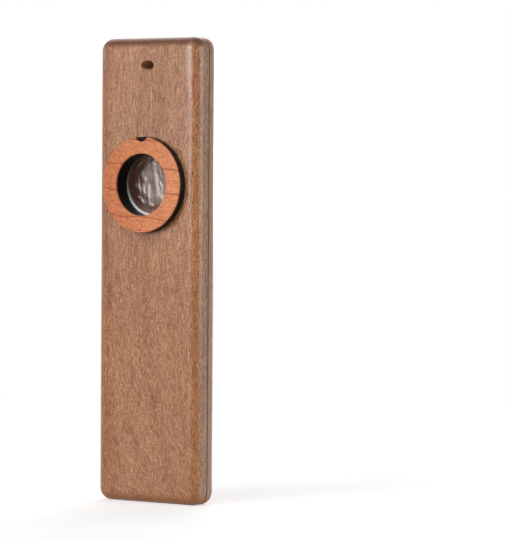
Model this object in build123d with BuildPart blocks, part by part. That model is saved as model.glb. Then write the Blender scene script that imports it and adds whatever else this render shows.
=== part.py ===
"""A flat wooden kazoo: two glued halves, a push-in cap, and the membrane that the cap clamps.

The kazoo stands on its mouth end. +Z runs up its length, the front with the cap faces -Y,
and the origin is the middle of the bounding box's underside. All sizes are in millimetres.
"""

import os

from build123d import *

# Body: two wooden halves with every outer edge rounded over
body_length = 120.0
body_width = 32.5
front_thickness = 4.8
back_thickness = 4.2
edge_radius = 3.0
face_corner_radius = 0.3
seam_ease = 0.15

# Wind channel, milled into the inner faces of both halves
channel_width = 14.0
channel_front_depth = 1.6
channel_back_depth = 2.8
channel_floor_radius = 1.0
channel_tool_radius = 3.0
channel_to_socket_wall = 3.0

# Vent: the small oval hole near the top, and the passage that feeds it
vent_drop = 7.1
vent_width = 4.0
vent_rise = 2.5
passage_width = 5.5
passage_end_wall = 4.6

# Cap: black moulded ring with a skirt that pushes into the socket
port_drop = 37.85
bore_radius = 8.0
skirt_wall = 1.4
skirt_length = 1.9
skirt_lead_in = 0.4
skirt_clearance = 0.05
ring_width = 4.35
flange_thickness = 2.1
flange_ease = 0.2

# Veneer ring glued on the cap, with the nail notch at its top
veneer_thickness = 0.5
veneer_inset = 0.05
veneer_ease = 0.1
notch_radius = 2.3
notch_reach = 1.3
notch_pocket_depth = 1.2

# Membrane: a film disc under a white hoop, both lying on the socket's ledge
hoop_thickness = 0.6
hoop_lip = 0.15
hoop_rise = 0.4
hoop_bevel = 0.35
hoop_clearance = 0.1
film_thickness = 0.1
film_margin = 0.3
ledge_width = 2.35
chamber_relief = 1.2

# How far every cut runs past the material
overrun = 5.0

# Sizes that follow from the ones above
corner_radius = edge_radius + face_corner_radius
cap_stand = flange_thickness + veneer_thickness
seam_y = (front_thickness + cap_stand - back_thickness) / 2
face_y = seam_y - front_thickness
port_height = body_length - port_drop
vent_height = body_length - vent_drop
flange_radius = bore_radius + ring_width
skirt_radius = bore_radius + skirt_wall
socket_radius = skirt_radius + skirt_clearance
socket_depth = skirt_length + hoop_thickness + film_thickness
ledge_hole_radius = socket_radius - ledge_width
hoop_radius = socket_radius - hoop_clearance - hoop_rise
hoop_hole_radius = bore_radius - hoop_lip
notch_centre = flange_radius - notch_reach + notch_radius

# Planes that look out of the front: local X runs across the kazoo and local Y up it
across = (1, 0, 0)
outward = (0, -1, 0)
downward = (0, 0, -1)
seam = Plane(origin=(0, seam_y, 0), x_dir=across, z_dir=outward)
face = seam.offset(front_thickness)
port = Plane(origin=(0, face_y, port_height), x_dir=across, z_dir=outward)
# Section plane through the port: local X is the radius, local Y the height above the front face
port_section = Plane(origin=port.origin, x_dir=across, z_dir=downward)
port_axis = Axis(origin=port.origin, direction=outward)
# The membrane sits a little above the middle of the port, so its hoop shows most at the bottom
seat = Plane(origin=(0, face_y, port_height + hoop_rise), x_dir=across, z_dir=outward)
seat_section = Plane(origin=seat.origin, x_dir=across, z_dir=downward)
seat_axis = Axis(origin=seat.origin, direction=outward)

os.makedirs("parts", exist_ok=True)


# Front half: a plate with the mouth's share of the channel, the cap's socket and the vent
channel_front_length = port_height - socket_radius - channel_to_socket_wall
with BuildPart() as front_half:
    with BuildSketch(seam):
        with Locations((0, body_length / 2)):
            RectangleRounded(body_width, body_length, corner_radius)
    extrude(amount=front_thickness)
    fillet(front_half.faces().sort_by(Axis.Y)[0].edges(), edge_radius)
    chamfer(front_half.faces().sort_by(Axis.Y)[-1].edges(), seam_ease)
    with BuildSketch(seam):
        with Locations((0, (channel_front_length - overrun) / 2)):
            RectangleRounded(channel_width, channel_front_length + overrun, channel_tool_radius)
    extrude(amount=channel_front_depth, mode=Mode.SUBTRACT)
    front_floor = front_half.faces(Select.LAST).filter_by(Axis.Y).sort_by(Axis.Y)[0]
    fillet(front_floor.edges().sort_by(Axis.Z)[1:], channel_floor_radius)
    with Locations(port):
        CounterBoreHole(ledge_hole_radius, socket_radius, socket_depth)
    with BuildSketch(face):
        with Locations((0, vent_height)):
            Ellipse(vent_width / 2, vent_rise / 2)
    extrude(amount=-front_thickness, mode=Mode.SUBTRACT)
front_half.part.label = "front_half"
export_step(front_half.part, "parts/front_half.step")


# Back half: a plate with the whole channel, from the mouth past the membrane to the vent
passage_top = body_length - passage_end_wall
with BuildPart() as back_half:
    with BuildSketch(seam):
        with Locations((0, body_length / 2)):
            RectangleRounded(body_width, body_length, corner_radius)
    extrude(amount=-back_thickness)
    fillet(back_half.faces().sort_by(Axis.Y)[-1].edges(), edge_radius)
    chamfer(back_half.faces().sort_by(Axis.Y)[0].edges(), seam_ease)
    with BuildSketch(seam):
        with Locations((0, (port_height - overrun) / 2)):
            RectangleRounded(channel_width, port_height + overrun, channel_tool_radius)
    extrude(amount=-channel_back_depth, mode=Mode.SUBTRACT)
    back_floor = back_half.faces(Select.LAST).filter_by(Axis.Y).sort_by(Axis.Y)[-1]
    fillet(back_floor.edges().sort_by(Axis.Z)[1:], channel_floor_radius)
    with BuildSketch(seam):
        with Locations((0, port_height)):
            Circle(ledge_hole_radius + chamber_relief)
        with Locations((0, (port_height + passage_top) / 2)):
            SlotOverall(passage_top - port_height + passage_width, passage_width, rotation=90)
    extrude(amount=-channel_back_depth, mode=Mode.SUBTRACT)
back_half.part.label = "back_half"
export_step(back_half.part, "parts/back_half.step")


# Cap: the turned section of skirt and flange, with a pocket under the veneer's notch
with BuildPart() as cap:
    with BuildSketch(port_section):
        with BuildLine():
            Polyline(
                (bore_radius, -skirt_length),
                (skirt_radius - skirt_lead_in, -skirt_length),
                (skirt_radius, skirt_lead_in - skirt_length),
                (skirt_radius, 0),
                (flange_radius - flange_ease, 0),
                (flange_radius, flange_ease),
                (flange_radius, flange_thickness),
                (bore_radius, flange_thickness),
                close=True,
            )
        make_face()
    revolve(axis=port_axis)
    with BuildSketch(port.offset(flange_thickness)):
        with Locations((0, notch_centre)):
            Circle(notch_radius)
    extrude(amount=-notch_pocket_depth, mode=Mode.SUBTRACT)
cap.part.label = "cap"
export_step(cap.part, "parts/cap.step")


# Veneer ring: a flat washer of wood with the nail notch cut out of its rim
with BuildPart() as cap_veneer:
    with BuildSketch(port.offset(flange_thickness)):
        Circle(flange_radius - veneer_inset)
        Circle(bore_radius, mode=Mode.SUBTRACT)
        with Locations((0, notch_centre)):
            Circle(notch_radius, mode=Mode.SUBTRACT)
    extrude(amount=veneer_thickness)
    chamfer(cap_veneer.faces().sort_by(Axis.Y)[0].edges(), veneer_ease)
cap_veneer.part.label = "cap_veneer"
export_step(cap_veneer.part, "parts/cap_veneer.step")


# Hoop: the white ring that the skirt presses on the film, bevelled where it meets the bore
with BuildPart() as membrane_hoop:
    with BuildSketch(seat_section):
        with BuildLine():
            Polyline(
                (hoop_hole_radius, film_thickness - socket_depth),
                (hoop_radius, film_thickness - socket_depth),
                (hoop_radius, -skirt_length),
                (hoop_hole_radius + hoop_bevel, -skirt_length),
                (hoop_hole_radius, -skirt_length - hoop_bevel),
                close=True,
            )
        make_face()
    revolve(axis=seat_axis)
membrane_hoop.part.label = "membrane_hoop"
export_step(membrane_hoop.part, "parts/membrane_hoop.step")


# Membrane: the film disc on the ledge
with BuildPart() as membrane:
    with BuildSketch(seat.offset(-socket_depth)):
        Circle(hoop_radius - film_margin)
    extrude(amount=film_thickness)
membrane.part.label = "membrane"
export_step(membrane.part, "parts/membrane.step")
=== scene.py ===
# %% [markdown]
# This lesson dresses a flat wooden kazoo. The solids come ready made and in their places, so the
# first step only loads them. Every length here is in metres, and `MM` turns a size in millimetres
# into metres, which keeps the numbers close to what a ruler would read on the real thing.

# %% Load the solids
import math

import bmesh
import bpy
from mathutils import Euler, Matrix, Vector, noise


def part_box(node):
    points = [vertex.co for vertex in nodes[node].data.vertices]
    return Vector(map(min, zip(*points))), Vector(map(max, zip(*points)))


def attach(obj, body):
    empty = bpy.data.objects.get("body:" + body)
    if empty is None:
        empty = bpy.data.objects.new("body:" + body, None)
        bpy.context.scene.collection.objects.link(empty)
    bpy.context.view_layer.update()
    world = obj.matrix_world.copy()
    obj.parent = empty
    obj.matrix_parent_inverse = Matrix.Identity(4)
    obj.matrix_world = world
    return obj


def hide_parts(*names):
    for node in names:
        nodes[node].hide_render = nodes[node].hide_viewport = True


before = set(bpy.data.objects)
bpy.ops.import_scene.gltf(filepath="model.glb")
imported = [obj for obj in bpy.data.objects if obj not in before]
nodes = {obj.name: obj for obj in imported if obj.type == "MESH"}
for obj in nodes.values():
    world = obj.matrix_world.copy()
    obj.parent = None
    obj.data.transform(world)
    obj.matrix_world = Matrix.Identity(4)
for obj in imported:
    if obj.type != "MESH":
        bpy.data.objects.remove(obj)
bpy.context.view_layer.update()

MM = 0.001
print("the solids:", ", ".join(sorted(nodes)))

# %% [markdown]
# A few places are used again and again: the flat front, the glue line between the two halves, the
# flat back, and the middle of the round sound hole. They are read from the solids, so nothing here
# has to be kept in step by hand.

# %% Measure the places that the pieces share
front_low, front_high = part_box("front_half")
_, back_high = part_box("back_half")
cap_low, cap_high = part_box("cap")
veneer_low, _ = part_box("cap_veneer")
film_low, film_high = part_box("membrane")
hoop_low, hoop_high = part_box("membrane_hoop")
face_y = front_low.y
seam_y = front_high.y
back_y = back_high.y
length = front_high.z
body_centre = Vector((0, (face_y + back_y) / 2, length / 2))
port_z = (cap_low.z + cap_high.z) / 2
print("front face at", round(face_y / MM, 2), "mm, seam at", round(seam_y / MM, 2), "mm")

# %% [markdown]
# The camera stands where the photographer's stood: well back, a little to the right of the front,
# and almost level. A long lens keeps the upright edges nearly parallel. Turning the camera, rather
# than shifting its sensor, puts the kazoo left of the middle of the picture.

# %% Camera
picture_width, picture_height = 510, 540
sensor_size = 36.0
focal_pixels = 3295
kazoo_pixel = Vector((156.9, 270.4))
camera_azimuth = math.radians(37.2)
camera_elevation = math.radians(1.5)
camera_roll = math.radians(0.33)
camera_distance = 853 * MM


def direction(azimuth, elevation):
    """A unit vector from the kazoo outwards; azimuth 0 is the front, and it grows to the right."""
    level = math.cos(elevation)
    return Vector((math.sin(azimuth) * level, -math.cos(azimuth) * level, math.sin(elevation)))


camera = bpy.data.objects.new("camera", bpy.data.cameras.new("camera"))
bpy.context.scene.collection.objects.link(camera)
bpy.context.scene.camera = camera
camera.data.sensor_width = sensor_size
camera.data.lens = sensor_size * focal_pixels / picture_height
towards_camera = direction(camera_azimuth, camera_elevation)
turn_right = math.atan((picture_width / 2 - kazoo_pixel.x) / focal_pixels)
tilt_up = math.atan((kazoo_pixel.y - picture_height / 2) / focal_pixels)
aim = (-towards_camera).to_track_quat("-Z", "Y")
trim = Euler((tilt_up, -turn_right, camera_roll)).to_quaternion()
camera.location = body_centre + towards_camera * camera_distance
camera.rotation_euler = (aim @ trim).to_euler()
print("lens", round(camera.data.lens, 1), "mm at", round(camera_distance, 3), "m")

# %% [markdown]
# Every material is a small net of nodes. One function turns a colour as a painter would write it,
# an sRGB hex value, into the linear numbers that Blender mixes. Another adds a node, sets its
# properties and fills its sockets, either with a value or from another node. On a Mix node, socket 0
# is the amount, and sockets 6 and 7 are the two colours.

# %% Colour and node helpers
def colour(hex_value):
    """Linear RGBA of an sRGB colour written as six hex digits."""
    parts = [int(hex_value[i:i + 2], 16) / 255 for i in (0, 2, 4)]
    linear = [c / 12.92 if c <= 0.04045 else ((c + 0.055) / 1.055) ** 2.4 for c in parts]
    return (*linear, 1.0)


def add(tree, kind, inputs=None, **settings):
    """Adds a shader node, sets its properties, and fills its sockets from values, outputs or nodes.

    A node given as an input stands for its first output that is in use.
    """
    made = tree.nodes.new("ShaderNode" + kind)
    for name, value in settings.items():
        setattr(made, name, value)
    for key, value in (inputs or {}).items():
        if isinstance(value, bpy.types.Node):
            value = next(output for output in value.outputs if output.enabled)
        if isinstance(value, bpy.types.NodeSocket):
            tree.links.new(value, made.inputs[key])
        else:
            made.inputs[key].default_value = value
    return made


def new_material(name):
    """An empty material and its node tree."""
    material = bpy.data.materials.new(name)
    material.use_nodes = True
    material.node_tree.nodes.clear()
    return material, material.node_tree


def seen_rays(tree):
    """1 for rays that bring a picture, straight, mirrored or through film, and 0 for rays of light."""
    rays = add(tree, "LightPath").outputs
    seen = add(tree, "Math", {0: rays["Is Camera Ray"], 1: rays["Is Glossy Ray"]}, operation="MAXIMUM")
    return add(tree, "Math", {0: seen, 1: rays["Is Transmission Ray"]}, operation="MAXIMUM")


print("helpers ready")

# %% [markdown]
# The studio is a white sweep with no edge in sight. The world is plain white to the camera and in
# reflections, and a dimmer white as a lamp, so the background stays clean while the wood keeps its
# shading. Light Path tells these kinds of ray apart.

# %% White surroundings
ambient_level = 0.08
world = bpy.data.worlds.new("white_studio")
bpy.context.scene.world = world
world.use_nodes = True
world.node_tree.nodes.clear()
sky = world.node_tree
level = add(sky, "MapRange", {"Value": seen_rays(sky), "To Min": ambient_level, "To Max": 1.0})
glow = add(sky, "Background", {"Color": colour("FFFFFF"), "Strength": level})
add(sky, "OutputWorld", {"Surface": glow})
bpy.context.scene.view_settings.view_transform = "Standard"
print("world lights the kazoo at", ambient_level)

# %% [markdown]
# The floor is matt white card. Near the kazoo it takes the shadow, and further out it fades into
# the white of the world, so that no horizon line crosses the picture.

# %% Floor
floor_half_size = 900 * MM
fade_start, fade_end = 120 * MM, 420 * MM
card_lift = 0.50

shape = bmesh.new()
bmesh.ops.create_grid(shape, x_segments=1, y_segments=1, size=floor_half_size)
floor_mesh = bpy.data.meshes.new("floor")
shape.to_mesh(floor_mesh)
shape.free()
floor = bpy.data.objects.new("floor", floor_mesh)
bpy.context.scene.collection.objects.link(floor)

card, tree = new_material("matt_white_card")
place = add(tree, "TexCoord").outputs["Object"]
reach = add(tree, "VectorMath", {0: place}, operation="LENGTH")
fade = add(tree, "MapRange", {"Value": reach, "From Min": fade_start, "From Max": fade_end},
           interpolation_type="SMOOTHSTEP")
seen = seen_rays(tree)
lift = add(tree, "Math", {0: seen, 1: card_lift}, operation="MULTIPLY")
matt = add(tree, "BsdfDiffuse", {"Color": colour("D2D2D2")})
raised = add(tree, "Emission", {"Color": colour("FFFFFF"), "Strength": lift})
near = add(tree, "AddShader", {0: matt, 1: raised})
white = add(tree, "Emission", {"Color": colour("FFFFFF"), "Strength": seen})
blend = add(tree, "MixShader", {0: fade, 1: near, 2: white})
add(tree, "OutputMaterial", {"Surface": blend})
floor_mesh.materials.append(card)
print("floor", round(2 * floor_half_size, 2), "m wide")

# %% [markdown]
# Seven soft boxes light the wood. A high one models the ring and its shadow. A bright one, a little
# to the left, is mirrored where the flat front starts to round over, and draws the ridge there. A dim
# one beside it leaves a sheen on the upper front. A faint fill and a strip on the right light the
# edge, a box behind on the left draws the rim of the top, and a broad one behind lights the back for
# anyone who walks round.

# %% Soft boxes
def soft_box(name, azimuth, elevation, distance, width, height, watts):
    """An area lamp that stands round the kazoo and faces its middle; angles in degrees."""
    out = direction(math.radians(azimuth), math.radians(elevation))
    lamp = bpy.data.lights.new(name, "AREA")
    lamp.shape = "RECTANGLE"
    lamp.size, lamp.size_y = width, height
    lamp.energy = watts
    stand = bpy.data.objects.new(name, lamp)
    stand.location = body_centre + out * distance
    stand.rotation_euler = (-out).to_track_quat("-Z", "Y").to_euler()
    bpy.context.scene.collection.objects.link(stand)


soft_box("top_box", azimuth=5, elevation=48, distance=0.80, width=0.50, height=0.40, watts=1.85)
soft_box("ridge_box", azimuth=-14, elevation=15, distance=0.90, width=0.50, height=0.46, watts=4.0)
soft_box("left_box", azimuth=-40, elevation=14, distance=0.90, width=0.26, height=0.46, watts=0.35)
soft_box("fill_box", azimuth=60, elevation=8, distance=1.20, width=0.80, height=0.80, watts=0.3)
soft_box("right_strip", azimuth=102, elevation=8, distance=0.80, width=0.46, height=0.70, watts=3.55)
soft_box("rim_box", azimuth=-140, elevation=42, distance=0.90, width=0.50, height=0.35, watts=2.0)
soft_box("back_box", azimuth=196, elevation=18, distance=0.90, width=0.60, height=0.60, watts=5.0)
print("seven soft boxes")

# %% [markdown]
# The body is two boards of sapele, a mahogany-like wood. Their grain runs up the kazoo, leans a
# little, bends aside towards the mouth, and drifts to and fro. Every pattern in the wood is a noise
# laid along that grain, with cells that are sized in millimetres across and along it.

# %% Run of the grain
drift_size, drift_reach = 22 * MM, 3.2 * MM
wave_size = 6 * MM


def stretched_noise(tree, grain, across, along, detail):
    """A noise whose cells measure across and along the grain, in metres; its output runs 0 to 1."""
    cells = (1 / across, 1 / across, 1 / along)
    cells = add(tree, "VectorMath", {0: grain, 1: cells}, operation="MULTIPLY")
    return add(tree, "TexNoise", {"Vector": cells, "Scale": 1.0, "Detail": detail, "Roughness": 0.6})


def wander(tree, grain, size, detail, reach):
    """How far a soft noise of this size carries the grain aside; reach is in metres along X, Y and Z."""
    sway = add(tree, "TexNoise", {"Vector": grain, "Scale": 1 / size, "Detail": detail})
    sway = add(tree, "VectorMath", {0: sway.outputs["Color"], 1: (0.5, 0.5, 0.5)}, operation="SUBTRACT")
    return add(tree, "VectorMath", {0: sway, 1: reach}, operation="MULTIPLY")


def board_grain(tree, place, curl, lean, sweep_start, sweep, shorten, board):
    """The points of a board as its grain runs, and the same points with a small curl added.

    lean tilts the grain. Below sweep_start, sweep bends it more and more and shorten shortens its
    fibres. board shifts the pattern, so that no two boards look alike.
    """
    height = add(tree, "SeparateXYZ", {0: place}).outputs["Z"]
    below = add(tree, "Math", {0: sweep_start, 1: height}, operation="SUBTRACT")
    below = add(tree, "Math", {0: below, 1: 0.0}, operation="MAXIMUM")
    square = add(tree, "Math", {0: below, 1: 2.0}, operation="POWER")
    bend = add(tree, "Math", {0: square, 1: sweep}, operation="MULTIPLY")
    crush = add(tree, "Math", {0: square, 1: -shorten}, operation="MULTIPLY")
    tilt = add(tree, "Math", {0: height, 1: lean}, operation="MULTIPLY")
    aside = add(tree, "Math", {0: bend, 1: tilt}, operation="SUBTRACT")
    slide = add(tree, "CombineXYZ", {"X": aside, "Z": crush})
    swept = add(tree, "VectorMath", {0: place, 1: slide}, operation="ADD")
    swept = add(tree, "VectorMath", {0: swept, 1: (board, board, board)}, operation="ADD")
    drift = wander(tree, swept, drift_size, 1.0, (drift_reach, drift_reach, 0))
    grain = add(tree, "VectorMath", {0: swept, 1: drift}, operation="ADD")
    wave = wander(tree, swept, wave_size, 1.0, (curl, curl, 0))
    curly = add(tree, "VectorMath", {0: grain, 1: wave}, operation="ADD")
    return grain, curly


print("grain drifts over", round(drift_size / MM), "mm and curls over", round(wave_size / MM), "mm")

# %% [markdown]
# Sanding leaves the flat faces crowned: beside the rounded edges they already fall away a little, and
# more so near the top, and the rounding starts softly. This is too slight to change the outline, but
# it shapes the sheen along the edge, so the normals are turned instead of the faces.

# %% Crown beside the rounded edges
crown_start = 11 * MM
crown_curve = 13
corner_in, corner_out = (12.0 * MM, 13.3 * MM), (13.5 * MM, 14.4 * MM)
corner_rise = (length - 16 * MM, length - 4 * MM)
corner_turn = 7
ease_in, ease_out = (13.3 * MM, 14.1 * MM), (14.3 * MM, 15.4 * MM)
ease_turn = 6


def strip(tree, distance, comes_in, goes_out):
    """1 in a strip beside the edge and 0 on both sides of it; each fade is a pair of distances."""
    inner = add(tree, "MapRange", {"Value": distance, "From Min": comes_in[0], "From Max": comes_in[1]},
                interpolation_type="SMOOTHSTEP")
    outer = add(tree, "MapRange", {"Value": distance, "From Min": goes_out[1], "From Max": goes_out[0]},
                interpolation_type="SMOOTHSTEP")
    return add(tree, "Math", {0: inner, 1: outer}, operation="MULTIPLY")


def crowned(tree, place):
    """How far a point belongs to the upper corners, and the normal of the crowned face."""
    axes = add(tree, "SeparateXYZ", {0: place}).outputs
    off_middle = add(tree, "Math", {0: axes["X"]}, operation="ABSOLUTE")
    past = add(tree, "Math", {0: off_middle, 1: crown_start}, operation="SUBTRACT")
    past = add(tree, "Math", {0: past, 1: 0.0}, operation="MAXIMUM")
    fall = add(tree, "Math", {0: past, 1: 2.0}, operation="POWER")
    fall = add(tree, "Math", {0: fall, 1: -crown_curve}, operation="MULTIPLY")
    normal = add(tree, "Bump", {"Height": fall, "Strength": 1.0, "Distance": 1.0})
    risen = add(tree, "MapRange", {"Value": axes["Z"], "From Min": corner_rise[0],
                                   "From Max": corner_rise[1]})
    corner = strip(tree, off_middle, corner_in, corner_out)
    corner = add(tree, "Math", {0: corner, 1: risen}, operation="MULTIPLY")
    outward = add(tree, "Math", {0: corner, 1: corner_turn}, operation="MULTIPLY")
    inward = strip(tree, off_middle, ease_in, ease_out)
    inward = add(tree, "Math", {0: inward, 1: ease_turn}, operation="MULTIPLY")
    outward = add(tree, "Math", {0: outward, 1: inward}, operation="SUBTRACT")
    turn = add(tree, "VectorMath", {0: place, 1: (1, 0, 0)}, operation="MULTIPLY")
    turn = add(tree, "VectorMath", {0: turn, "Scale": outward}, operation="SCALE")
    normal = add(tree, "VectorMath", {0: normal, 1: turn}, operation="ADD")
    normal = add(tree, "VectorMath", {0: normal}, operation="NORMALIZE")
    return corner, normal


print("faces crowned from", round(crown_start / MM, 1), "mm off the middle")

# %% [markdown]
# The boards were planed, sanded, rounded over and oiled. What the eye gets from them is broad ribbons
# of lighter and darker wood with a rosy blush and golden threads, fine fibres, small flecks, short
# dark pores, and a satin film of oil. The rounded edges carry painted shade, a warmer and darker
# tint, and so does the left edge. The top end is darkest, from its end grain and from painted
# shade, and the sides are greyed by a painted sheen. The glue line is a dark thread, and inside,
# where no oil reaches, the milled wood is pale and dry. Real pores and glue lines are finer, and
# these are drawn as wide as they need to be to show.

# %% Sapele
ribbon_size = (4.5 * MM, 80 * MM)
blush_size = (1.8 * MM, 20 * MM)
gold_size = (0.8 * MM, 10 * MM)
fleck_size = (0.22 * MM, 0.5 * MM)
crowd_size = (2.2 * MM, 22 * MM)
fibre_width = 0.25 * MM
fibre_relief = 0.03 * MM
green_power, blue_power = 1.3, 1.6
pore_rim, pore_depth = 0.06, 0.7
# Painted shade darkens the left edge
left_shade_span, left_shade_tint = (-9 * MM, -13.2 * MM), "F0E3D0"
# A painted grey sheen on the sides
side_sheen_share, side_sheen_tint = 0.38, "A48E74"
glue_line, glue_tint = (0.14 * MM, 0.34 * MM), "49311F"
dry_dark, dry_pale = "B98C70", "DCB499"
dry_box = {
    "X": (-11 * MM, 11 * MM),
    "Y": (face_y + 0.25 * MM, back_y - 0.25 * MM),
    "Z": (3.4 * MM, length - 3.4 * MM),
}


def sapele(name, pale, dark, blush, gold, streaks, fibre_length, fleck, pore, pore_start, pore_rare,
           pore_width, pore_length, edge, end_grain_and_shade, **run):
    """Oiled sapele in the tints pale, dark, blush and gold.

    streaks and fleck are the contrast of its fibres and flecks. Pores cover what lies above
    pore_start where they crowd, and above pore_rare where they are rare. edge tints the rounded
    edges as painted shade, end_grain_and_shade darkens the top end for its end grain and as painted
    shade, and run tells how the grain runs.
    """
    material, tree = new_material(name)
    coords = add(tree, "TexCoord").outputs
    place = coords["Object"]
    axes = add(tree, "SeparateXYZ", {0: place}).outputs
    grain, curly = board_grain(tree, place, **run)

    # Ribbons, with the blush and the golden threads over them
    ribbon = stretched_noise(tree, grain, *ribbon_size, 2.0)
    tone = add(tree, "MapRange", {"Value": ribbon, "From Min": 0.32, "From Max": 0.68})
    wood = add(tree, "Mix", {0: tone, 6: colour(dark), 7: colour(pale)}, data_type="RGBA")
    for size, start, most, tint in ((blush_size, 0.40, 0.55, blush), (gold_size, 0.45, 0.70, gold)):
        patch = stretched_noise(tree, grain, *size, 2.0)
        tone = add(tree, "MapRange", {"Value": patch, "From Min": start, "From Max": 0.72,
                                      "To Max": most})
        wood = add(tree, "Mix", {0: tone, 6: wood, 7: colour(tint)}, data_type="RGBA")

    # Fibres and flecks shade the wood, its blue the most and its red the least
    fibre = stretched_noise(tree, curly, fibre_width, fibre_length, 3.0)
    figure = stretched_noise(tree, curly, *fleck_size, 1.0)
    streak = add(tree, "MapRange", {"Value": fibre, "From Min": 0.28, "From Max": 0.72,
                                    "To Min": 1 - streaks, "To Max": 1 + streaks})
    speck = add(tree, "MapRange", {"Value": figure, "From Min": 0.28, "From Max": 0.72,
                                   "To Min": 1 - fleck, "To Max": 1 + fleck})
    red = add(tree, "Math", {0: streak, 1: speck}, operation="MULTIPLY")
    green = add(tree, "Math", {0: red, 1: green_power}, operation="POWER")
    blue = add(tree, "Math", {0: red, 1: blue_power}, operation="POWER")
    shade = add(tree, "CombineColor", {0: red, 1: green, 2: blue})
    wood = add(tree, "Mix", {0: 1.0, 6: wood, 7: shade}, data_type="RGBA", blend_type="MULTIPLY")

    # Pores: short dark slits, crowded in some ribbons and rare in others
    slit = stretched_noise(tree, curly, pore_width, pore_length, 1.0)
    crowd = stretched_noise(tree, grain, *crowd_size, 1.0)
    start = add(tree, "MapRange", {"Value": crowd, "From Min": 0.3, "From Max": 0.7,
                                   "To Min": pore_rare, "To Max": pore_start})
    full = add(tree, "Math", {0: start, 1: pore_rim}, operation="ADD")
    pores = add(tree, "MapRange", {"Value": slit, "From Min": start, "From Max": full})
    depth = add(tree, "Math", {0: pores, 1: pore_depth}, operation="MULTIPLY")
    wood = add(tree, "Mix", {0: depth, 6: wood, 7: colour(pore)}, data_type="RGBA")

    # Painted shade on the rounded edges and the left edge, darker end grain and painted shade on the
    # top end, and a painted grey sheen on the sides
    facing = add(tree, "VectorMath", {0: coords["Normal"]}, operation="ABSOLUTE")
    facing = add(tree, "SeparateXYZ", {0: facing}).outputs
    flat = add(tree, "Math", {0: facing["X"], 1: facing["Y"]}, operation="MAXIMUM")
    flat = add(tree, "Math", {0: flat, 1: facing["Z"]}, operation="MAXIMUM")
    # Painted shade on the rounded edges
    rounded = add(tree, "MapRange", {"Value": flat, "From Min": 0.97, "From Max": 0.80})
    upward = add(tree, "SeparateXYZ", {0: coords["Normal"]}).outputs["Z"]
    # The top end darkens for its end grain and for painted shade
    top_end = add(tree, "MapRange", {"Value": upward, "From Min": 0.12, "From Max": 0.55})
    # Painted shade on the left edge
    left_shade = add(tree, "MapRange", {"Value": axes["X"], "From Min": left_shade_span[0],
                                  "From Max": left_shade_span[1]})
    for amount, tint in ((rounded, edge), (top_end, end_grain_and_shade), (left_shade, left_shade_tint)):
        wood = add(tree, "Mix", {0: amount, 6: wood, 7: colour(tint)}, data_type="RGBA",
                   blend_type="MULTIPLY")
    # The sides are greyed by a painted sheen
    side_sheen = add(tree, "MapRange", {"Value": facing["X"], "From Min": 0.90, "From Max": 0.99,
                                  "To Max": side_sheen_share})
    sheen_grey = add(tree, "Mix", {0: 1.0, 6: colour(side_sheen_tint), 7: shade}, data_type="RGBA",
               blend_type="MULTIPLY")
    wood = add(tree, "Mix", {0: side_sheen, 6: wood, 7: sheen_grey}, data_type="RGBA")

    # The glue line between the halves
    off_seam = add(tree, "Math", {0: axes["Y"], 1: seam_y}, operation="SUBTRACT")
    off_seam = add(tree, "Math", {0: off_seam}, operation="ABSOLUTE")
    thread = add(tree, "MapRange", {"Value": off_seam, "From Min": glue_line[0],
                                    "From Max": glue_line[1], "To Min": 0.8, "To Max": 0.0})
    wood = add(tree, "Mix", {0: thread, 6: wood, 7: colour(glue_tint)}, data_type="RGBA")

    # Inside, the milled wood is pale and dry
    inside = 1.0
    for axis, (low, high) in dry_box.items():
        above = add(tree, "Math", {0: axes[axis], 1: low}, operation="GREATER_THAN")
        below = add(tree, "Math", {0: axes[axis], 1: high}, operation="LESS_THAN")
        between = add(tree, "Math", {0: above, 1: below}, operation="MULTIPLY")
        inside = add(tree, "Math", {0: inside, 1: between}, operation="MULTIPLY")
    tone = add(tree, "MapRange", {"Value": fibre, "From Min": 0.3, "From Max": 0.7})
    dry = add(tree, "Mix", {0: tone, 6: colour(dry_dark), 7: colour(dry_pale)}, data_type="RGBA")
    wood = add(tree, "Mix", {0: inside, 6: wood, 7: dry}, data_type="RGBA")

    # The oil film is satin, open over the pores, dull on end grain and richer at the upper corners
    corner, normal = crowned(tree, place)
    relief = add(tree, "Math", {0: fibre, 1: pores}, operation="SUBTRACT")
    bump = add(tree, "Bump", {"Height": relief, "Strength": 0.15, "Distance": fibre_relief,
                              "Normal": normal})
    gloss = add(tree, "MapRange", {"Value": figure, "From Min": 0.3, "From Max": 0.7,
                                   "To Min": 0.18, "To Max": 0.26})
    ends = add(tree, "MapRange", {"Value": facing["Z"], "From Min": 0.12, "From Max": 0.55,
                                  "To Max": 0.25})
    gloss = add(tree, "Math", {0: gloss, 1: ends}, operation="ADD")
    polish = add(tree, "MapRange", {"Value": corner, "To Min": 0.5, "To Max": 0.8})
    surface = add(tree, "BsdfPrincipled", {"Base Color": wood, "Roughness": gloss, "IOR": 1.45,
                                           "Specular IOR Level": polish, "Normal": bump})
    add(tree, "OutputMaterial", {"Surface": surface})
    return material


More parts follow.
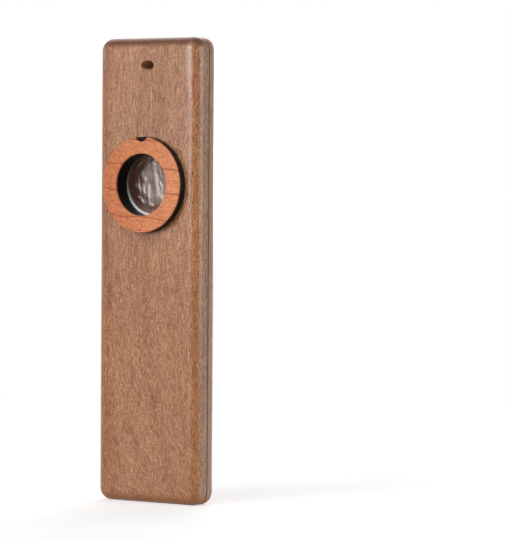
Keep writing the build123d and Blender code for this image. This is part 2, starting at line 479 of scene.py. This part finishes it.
front_wood = sapele(
    "sapele_front_oiled", pale="B5805B", dark="9D6644", blush="B67B60", gold="AE8058",
    streaks=0.53, fibre_length=5.5 * MM, fleck=0.46,
    pore="543522", pore_start=0.58, pore_rare=0.74, pore_width=0.28 * MM, pore_length=1.9 * MM,
    edge="F4E0BC", end_grain_and_shade="A08C66",
    curl=0.9 * MM, lean=0.09, sweep_start=85 * MM, sweep=-2.6, shorten=10, board=0.37,
)
back_wood = sapele(
    "sapele_back_oiled", pale="C08E72", dark="AA7C62", blush="BC8C7C", gold="B88A6A",
    streaks=0.32, fibre_length=14 * MM, fleck=0.10,
    pore="52382C", pore_start=0.54, pore_rare=0.60, pore_width=0.22 * MM, pore_length=4.0 * MM,
    edge="F8D4AC", end_grain_and_shade="D8C4B2",
    curl=0.3 * MM, lean=0.0, sweep_start=90 * MM, sweep=2.1, shorten=0, board=0.81,
)
nodes["front_half"].data.materials[0] = front_wood
nodes["back_half"].data.materials[0] = back_wood
print("both halves in sapele")

# %% [markdown]
# The cap is injection-moulded black ABS. Its mould was lightly blasted, so it is satin, and a fine
# pebble breaks up the highlights. A real pebble is finer, and this one is as coarse as it needs to be
# to show.

# %% Black ABS
pebble_size, pebble_relief = 0.35 * MM, 0.03 * MM
abs_cloud_size = 5 * MM

abs_black, tree = new_material("abs_black_moulded")
place = add(tree, "TexCoord").outputs["Object"]
pebble = add(tree, "TexNoise", {"Vector": place, "Scale": 1 / pebble_size, "Detail": 2.0})
cloud = add(tree, "TexNoise", {"Vector": place, "Scale": 1 / abs_cloud_size, "Detail": 2.0})
bump = add(tree, "Bump", {"Height": pebble, "Strength": 0.12, "Distance": pebble_relief})
gloss = add(tree, "MapRange", {"Value": cloud, "To Min": 0.38, "To Max": 0.52})
tint = add(tree, "Mix", {0: cloud, 6: colour("060505"), 7: colour("0C0A0A")}, data_type="RGBA")
surface = add(tree, "BsdfPrincipled", {"Base Color": tint, "Roughness": gloss, "IOR": 1.53,
                                       "Specular IOR Level": 0.15, "Normal": bump})
add(tree, "OutputMaterial", {"Surface": surface})
nodes["cap"].data.materials[0] = abs_black
print("cap in black ABS")

# %% [markdown]
# The ring on the cap is cherry veneer, sliced so that a few growth lines run almost level across
# it. Between the lines lie fine fibres and the small pale flecks that cherry is known for, a
# painted sheen makes the wood paler towards the right, and a pin knot sits near the bottom.

# %% Cherry veneer
growth_spacing, growth_offset = 6.6 * MM, 0.30
growth_width, growth_depth = 0.10, 0.85
veneer_tilt = math.radians(-4.5)
veneer_wave_size, veneer_wave_reach = 7 * MM, 1.6 * MM
veneer_fibre = (2.6 * MM, 0.26 * MM)
veneer_relief = 0.03 * MM
cherry_fleck_size = 0.8 * MM
knot_place = (-0.2 * MM, veneer_low.y, port_z - 11.6 * MM)
knot_core, knot_edge = 0.2 * MM, 0.4 * MM

cherry, tree = new_material("cherry_veneer_oiled")
place = add(tree, "TexCoord").outputs["Object"]
grain = add(tree, "Mapping", {"Vector": place, "Location": (0, 0, -port_z)}, vector_type="POINT")
grain = add(tree, "Mapping", {"Vector": grain, "Rotation": (0, veneer_tilt, 0)})

# Growth lines
wave = wander(tree, grain, veneer_wave_size, 2.0, (0, 0, veneer_wave_reach))
ringed = add(tree, "VectorMath", {0: grain, 1: wave}, operation="ADD")
height = add(tree, "SeparateXYZ", {0: ringed}).outputs["Z"]
turns = add(tree, "Math", {0: height, 1: 1 / growth_spacing}, operation="MULTIPLY")
turns = add(tree, "Math", {0: turns, 1: growth_offset}, operation="ADD")
turns = add(tree, "Math", {0: turns}, operation="FRACT")
line = add(tree, "MapRange", {"Value": turns, "From Min": 0.0, "From Max": growth_width,
                              "To Min": growth_depth, "To Max": 0.0})

# Flecks, a painted sheen towards the right, and fibres
cells = (1 / veneer_fibre[0], 1 / veneer_fibre[1], 1 / veneer_fibre[1])
cells = add(tree, "VectorMath", {0: grain, 1: cells}, operation="MULTIPLY")
fibre = add(tree, "TexNoise", {"Vector": cells, "Scale": 1.0, "Detail": 3.0})
fleck = add(tree, "TexNoise", {"Vector": grain, "Scale": 1 / cherry_fleck_size, "Detail": 2.0})
tone = add(tree, "MapRange", {"Value": fleck, "From Min": 0.3, "From Max": 0.7, "To Max": 0.55})
across = add(tree, "SeparateXYZ", {0: place}).outputs["X"]
# A painted sheen makes the veneer paler towards the right
rightward_sheen = add(tree, "MapRange", {"Value": across, "From Min": cap_low.x, "From Max": cap_high.x,
                                 "To Max": 0.52})
tone = add(tree, "Math", {0: tone, 1: rightward_sheen}, operation="ADD")
veneer = add(tree, "Mix", {0: tone, 6: colour("B96437"), 7: colour("EA996B")}, data_type="RGBA")
streak = add(tree, "MapRange", {"Value": fibre, "From Min": 0.28, "From Max": 0.72,
                                "To Min": 0.78, "To Max": 1.22})
veneer = add(tree, "Mix", {0: 1.0, 6: veneer, 7: streak}, data_type="RGBA", blend_type="MULTIPLY")
veneer = add(tree, "Mix", {0: line, 6: veneer, 7: colour("964824")}, data_type="RGBA")

# The pin knot
off_knot = add(tree, "VectorMath", {0: place, 1: knot_place}, operation="DISTANCE")
knot = add(tree, "MapRange", {"Value": off_knot, "From Min": knot_core, "From Max": knot_edge,
                              "To Min": 0.8, "To Max": 0.0})
veneer = add(tree, "Mix", {0: knot, 6: veneer, 7: colour("5A2614")}, data_type="RGBA")

bump = add(tree, "Bump", {"Height": fibre, "Strength": 0.15, "Distance": veneer_relief})
surface = add(tree, "BsdfPrincipled", {"Base Color": veneer, "Roughness": 0.42, "IOR": 1.48,
                                       "Specular IOR Level": 0.25, "Normal": bump})
add(tree, "OutputMaterial", {"Surface": surface})
nodes["cap_veneer"].data.materials[0] = cherry
print("ring in cherry veneer, growth lines", round(growth_spacing / MM, 1), "mm apart")

# %% [markdown]
# The hoop under the cap is white polypropylene, smooth from a polished mould. Deep in the bore only
# its lip shows, and it looks grey apart from a bright sliver at the bottom. A grey on the lip, which
# fades downward, stands in for that shade.

# %% White polypropylene
hoop_centre = (0, 0, (hoop_low.z + hoop_high.z) / 2)
lip_outer, lip_inner = hoop_high.x - 0.65 * MM, hoop_high.x - 0.75 * MM
lip_shade = 0.85
shade_low, shade_high = port_z - 6.5 * MM, port_z + 1.0 * MM
hoop_cloud_size = 3 * MM

white_pp, tree = new_material("polypropylene_white_polished")
place = add(tree, "TexCoord").outputs["Object"]
cloud = add(tree, "TexNoise", {"Vector": place, "Scale": 1 / hoop_cloud_size, "Detail": 2.0})
tint = add(tree, "Mix", {0: cloud, 6: colour("E6EAEE"), 7: colour("F0F2F4")}, data_type="RGBA")
height = add(tree, "SeparateXYZ", {0: place}).outputs["Z"]
shade = add(tree, "MapRange", {"Value": height, "From Min": shade_low, "From Max": shade_high,
                               "To Max": lip_shade})
spoke = add(tree, "VectorMath", {0: place, 1: hoop_centre}, operation="SUBTRACT")
spoke = add(tree, "VectorMath", {0: spoke, 1: (1, 0, 1)}, operation="MULTIPLY")
spoke = add(tree, "VectorMath", {0: spoke}, operation="LENGTH")
lip = add(tree, "MapRange", {"Value": spoke, "From Min": lip_outer, "From Max": lip_inner})
shade = add(tree, "Math", {0: shade, 1: lip}, operation="MULTIPLY")
tint = add(tree, "Mix", {0: shade, 6: tint, 7: colour("4E5054")}, data_type="RGBA")
gloss = add(tree, "MapRange", {"Value": cloud, "To Min": 0.24, "To Max": 0.34})
surface = add(tree, "BsdfPrincipled", {"Base Color": tint, "Roughness": gloss, "IOR": 1.49})
add(tree, "OutputMaterial", {"Surface": surface})
nodes["membrane_hoop"].data.materials[0] = white_pp
print("hoop in white polypropylene")

# %% [markdown]
# The membrane is a disc of clear film, as thin as a bag, laid on the ledge under the hoop. It is
# never quite flat: it crinkles, and the creases catch the light. A radius is spun into a disc of
# fine rings. Inside the hoop each point then moves in or out by soft noise, by one long crease, and
# by folds and bumps listed one by one. The rim stays flat, because the hoop presses it down.

# %% Crinkled film
film_radius = (film_high.x - film_low.x) / 2
film_level = (film_low.y + film_high.y) / 2
film_z = (film_low.z + film_high.z) / 2
free_radius = 6.9 * MM
settle_radius = 5.6 * MM
film_rings, film_sectors = 72, 220
film_thickness = 0.03 * MM
merge_distance = 0.001 * MM

# From here to the end of fold_depth lengths are in millimetres, from the middle of the port
wrinkle_depth, buckle_depth, fold_sway = 0.05, 0.16, 0.8
crease_u, crease_v = 0.49, 6.95
crease_across, crease_up, crease_slope = 0.658, 0.752, 0.12
film_lift, bow_middle, bow_rate = 0.05, 3.5, 0.003
# Each fold: its place across, its slant, its half width, its rise, and the heights it runs between
folds = (
    (2.75, -0.17, 0.45, 0.055, -3.0, 3.8),
    (-1.2, 0.06, 1.00, 0.085, -4.0, 3.0),
    (-2.88, -0.367, 0.50, 0.060, -6.2, -2.0),
    (0.8, -0.08, 0.70, 0.050, -4.5, 2.5),
    (-4.7, -0.10, 0.50, 0.030, -4.0, 1.0),
)
# Each bump: its place across and up, its size and its rise
bumps = (
    (0.3, 6.1, 0.35, 0.16),
    (-0.3, 5.6, 0.35, 0.14),
    (0.4, 5.0, 0.35, 0.09),
    (-3.6, 4.9, 0.40, 0.10),
    (-4.2, -1.0, 0.35, 0.08),
    (-0.7, -6.0, 0.40, 0.14),
    (-4.8, -3.2, 0.35, 0.08),
    (-2.6, 1.0, 0.40, 0.05),
)


def fold_depth(u, v):
    """How far the film lies behind its level at a point across and up from the middle of the port."""
    sway = fold_sway * noise.noise(Vector((u * 0.3, v * 0.45, 1.7)))
    wrinkle = noise.noise(Vector((u * 1.1 + v * 0.3, v * 0.7, 5.3)))
    buckle = noise.noise(Vector((u * 0.45 + v * 0.1, v * 0.40, 9.1)))
    past_crease = max((v - crease_v) * crease_up - (u - crease_u) * crease_across, 0)
    depth = wrinkle_depth * wrinkle + buckle_depth * buckle + crease_slope * past_crease
    depth -= film_lift + bow_rate * (v - bow_middle) ** 2
    for middle, slant, half_width, rise, low, high in folds:
        off = abs(u + sway - middle - slant * v) / half_width
        run = max(min(v - low, high - v, 1), 0)
        depth -= rise * run * max(1 - off, 0)
    for bump_u, bump_v, size, rise in bumps:
        depth -= rise * math.exp(-((u - bump_u) ** 2 + (v - bump_v) ** 2) / size ** 2)
    return depth


shape = bmesh.new()
ring_points = []
for i in range(film_rings + 1):
    ring_points.append(shape.verts.new((film_radius * i / film_rings, film_level, film_z)))
ring_edges = [shape.edges.new(pair) for pair in zip(ring_points, ring_points[1:])]
bmesh.ops.spin(shape, geom=ring_points + ring_edges, cent=(0, film_level, film_z), axis=(0, 1, 0),
               angle=math.tau, steps=film_sectors, use_merge=True)
bmesh.ops.remove_doubles(shape, verts=shape.verts, dist=merge_distance)
for vert in shape.verts:
    radius = math.hypot(vert.co.x, vert.co.z - film_z)
    slack = 1 - min(max((radius - settle_radius) / (free_radius - settle_radius), 0), 1)
    depth = fold_depth(vert.co.x / MM, (vert.co.z - port_z) / MM) * MM
    vert.co.y += depth * slack * slack * (3 - 2 * slack)
bmesh.ops.recalc_face_normals(shape, faces=shape.faces)
film_mesh = bpy.data.meshes.new("crinkled_film")
shape.to_mesh(film_mesh)
shape.free()
for face in film_mesh.polygons:
    face.use_smooth = True
film = bpy.data.objects.new("crinkled_film", film_mesh)
bpy.context.scene.collection.objects.link(film)
wall = film.modifiers.new("film_wall", "SOLIDIFY")
wall.thickness = film_thickness
wall.offset = 0
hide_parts("membrane")
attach(film, "membrane_unit")
print("film", round(2 * film_radius / MM, 1), "mm across,", len(film_mesh.polygons), "faces")

# %% [markdown]
# Clear polyethylene film passes most light and mirrors the rest. The net is one Principled shader
# that transmits, with a milky haze in patches, less of it on the left so that side stays dark as
# painted shade, and a gloss that varies a little, so the creases glint.

# %% Clear film
crumple_size = (0.9 * MM, 3.5 * MM)
haze_start, haze_full, haze_most = -5 * MM, -1.5 * MM, 0.42
film_clearness = 0.96

film_clear, tree = new_material("polyethylene_film_clear")
place = add(tree, "TexCoord").outputs["Object"]
crumple = stretched_noise(tree, place, *crumple_size, 4.0)
across = add(tree, "SeparateXYZ", {0: place}).outputs["X"]
# Painted shade: the haze fades out towards the left
painted_shade_ramp = add(tree, "MapRange", {"Value": across, "From Min": haze_start, "From Max": haze_full},
           interpolation_type="SMOOTHSTEP")
milk = add(tree, "MapRange", {"Value": crumple, "From Min": 0.3, "From Max": 0.7, "To Max": haze_most})
milk = add(tree, "Math", {0: milk, 1: painted_shade_ramp}, operation="MULTIPLY")
clear = add(tree, "Math", {0: film_clearness, 1: milk}, operation="SUBTRACT")
gloss = add(tree, "MapRange", {"Value": crumple, "To Min": 0.10, "To Max": 0.20})
surface = add(tree, "BsdfPrincipled", {"Base Color": colour("BCA294"), "Roughness": gloss, "IOR": 1.60,
                                       "Transmission Weight": clear})
add(tree, "OutputMaterial", {"Surface": surface})
film_mesh.materials.append(film_clear)
print("film in clear polyethylene")
